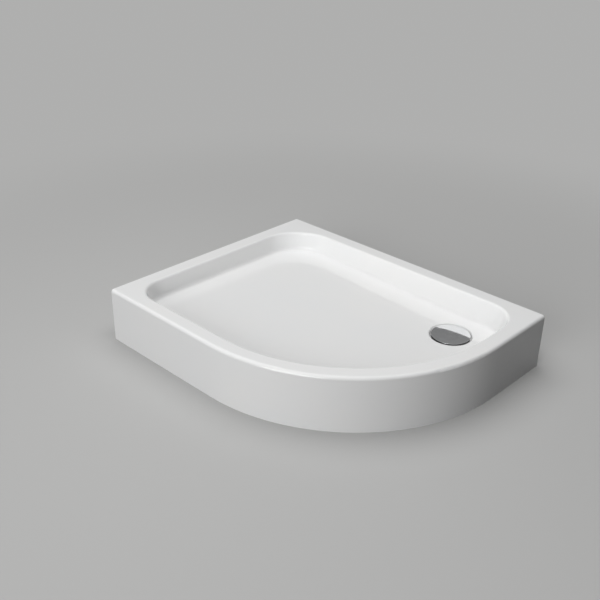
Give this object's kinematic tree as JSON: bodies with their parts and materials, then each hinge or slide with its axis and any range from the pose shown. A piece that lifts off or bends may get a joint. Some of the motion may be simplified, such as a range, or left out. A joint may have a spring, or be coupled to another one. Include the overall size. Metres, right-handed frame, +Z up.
{
  "type": "shower tray",
  "caption": "Offset-quadrant shower tray with an integral curved skirt, levelling feet and a floor waste with a lift-out trap cup, set in a room corner.",
  "frame": {"origin": "on the floor, under the middle of the tray's overall length and width", "axes": "+X along the long wall, away from the room corner; +Y towards the long wall; +Z up"},
  "size_m": [1, 0.8, 0.17],
  "materials": {
    "acrylic_white": "high-gloss white acrylic",
    "laminate": "rough glass-fibre laminate",
    "chipboard": "raw chipboard",
    "galvanised": "galvanised sheet",
    "zinc_fastener": "bright zinc plate",
    "foot_plastic": "black moulded plastic",
    "seal_rubber": "black rubber",
    "trap_plastic": "white moulded polypropylene",
    "cup_plastic": "grey moulded plastic",
    "nut_plastic": "black moulded plastic",
    "flange_steel": "brushed stainless steel",
    "cover_chrome": "polished chrome"
  },
  "bodies": {
    "tray": {"tray_shell": "acrylic_white", "laminate_backing": "laminate", "base_board": "chipboard", "rail_rear": "galvanised", "rail_front": "galvanised", "rail_side": "galvanised", "rail_screws": "zinc_fastener", "rail_nuts": "zinc_fastener", "jam_nuts": "zinc_fastener", "flange_gasket": "seal_rubber", "tray_gasket": "seal_rubber", "waste_flange": "flange_steel", "flange_screws": "flange_steel", "trap_body": "trap_plastic", "outlet_seal": "seal_rubber", "outlet_nut": "nut_plastic"},
    "trap_cup": {"trap_cup": "cup_plastic", "cup_seal": "seal_rubber"},
    "drain_cover": {"drain_cover": "cover_chrome"},
    "outlet_spigot": {"outlet_spigot": "trap_plastic"},
    "foot_pad_1": {"foot_pad_1": "foot_plastic"},
    "foot_stud_1": {"foot_stud_1": "zinc_fastener"},
    "foot_pad_2": {"foot_pad_2": "foot_plastic"},
    "foot_stud_2": {"foot_stud_2": "zinc_fastener"},
    "foot_pad_3": {"foot_pad_3": "foot_plastic"},
    "foot_stud_3": {"foot_stud_3": "zinc_fastener"},
    "foot_pad_4": {"foot_pad_4": "foot_plastic"},
    "foot_stud_4": {"foot_stud_4": "zinc_fastener"},
    "foot_pad_5": {"foot_pad_5": "foot_plastic"},
    "foot_stud_5": {"foot_stud_5": "zinc_fastener"}
  },
  "joints": [
    {"name": "foot_1_slide", "type": "slide", "parent": "tray", "child": "foot_pad_1", "axis": [0, 0, 1], "range_m": [-0.01, 0.003]},
    {"name": "foot_1_turn", "type": "hinge", "parent": "foot_pad_1", "child": "foot_stud_1", "pos_m": [-0.342, 0.165, 0], "axis": [0, 0, 1], "range_deg": [-2400, 720]},
    {"name": "foot_2_slide", "type": "slide", "parent": "tray", "child": "foot_pad_2", "axis": [0, 0, 1], "range_m": [-0.01, 0.003]},
    {"name": "foot_2_turn", "type": "hinge", "parent": "foot_pad_2", "child": "foot_stud_2", "pos_m": [0.191, 0.165, 0], "axis": [0, 0, 1], "range_deg": [-2400, 720]},
    {"name": "foot_3_slide", "type": "slide", "parent": "tray", "child": "foot_pad_3", "axis": [0, 0, 1], "range_m": [-0.01, 0.003]},
    {"name": "foot_3_turn", "type": "hinge", "parent": "foot_pad_3", "child": "foot_stud_3", "pos_m": [-0.342, -0.18, 0], "axis": [0, 0, 1], "range_deg": [-2400, 720]},
    {"name": "foot_4_slide", "type": "slide", "parent": "tray", "child": "foot_pad_4", "axis": [0, 0, 1], "range_m": [-0.01, 0.003]},
    {"name": "foot_4_turn", "type": "hinge", "parent": "foot_pad_4", "child": "foot_stud_4", "pos_m": [0.14234, -0.18, 0], "axis": [0, 0, 1], "range_deg": [-2400, 720]},
    {"name": "foot_5_slide", "type": "slide", "parent": "tray", "child": "foot_pad_5", "axis": [0, 0, 1], "range_m": [-0.01, 0.003]},
    {"name": "foot_5_turn", "type": "hinge", "parent": "foot_pad_5", "child": "foot_stud_5", "pos_m": [0.265, 0.025, 0], "axis": [0, 0, 1], "range_deg": [-2400, 720]},
    {"name": "cup_lift", "type": "slide", "parent": "tray", "child": "trap_cup", "axis": [0, 0, 1], "range_m": [0, 0.08]},
    {"name": "cover_lift", "type": "slide", "parent": "trap_cup", "child": "drain_cover", "axis": [0, 0, 1], "range_m": [0, 0.04]},
    {"name": "outlet_swivel", "type": "hinge", "parent": "tray", "child": "outlet_spigot", "pos_m": [0.303, 0.304, 0.048], "axis": [0, 0, 1], "range_deg": [-10, 10]}
  ],
  "couplings": [
    {"joint": "foot_1_turn", "follows": "foot_1_slide", "rad_per_m": 4188.8},
    {"joint": "foot_2_turn", "follows": "foot_2_slide", "rad_per_m": 4188.8},
    {"joint": "foot_3_turn", "follows": "foot_3_slide", "rad_per_m": 4188.8},
    {"joint": "foot_4_turn", "follows": "foot_4_slide", "rad_per_m": 4188.8},
    {"joint": "foot_5_turn", "follows": "foot_5_slide", "rad_per_m": 4188.8}
  ]
}
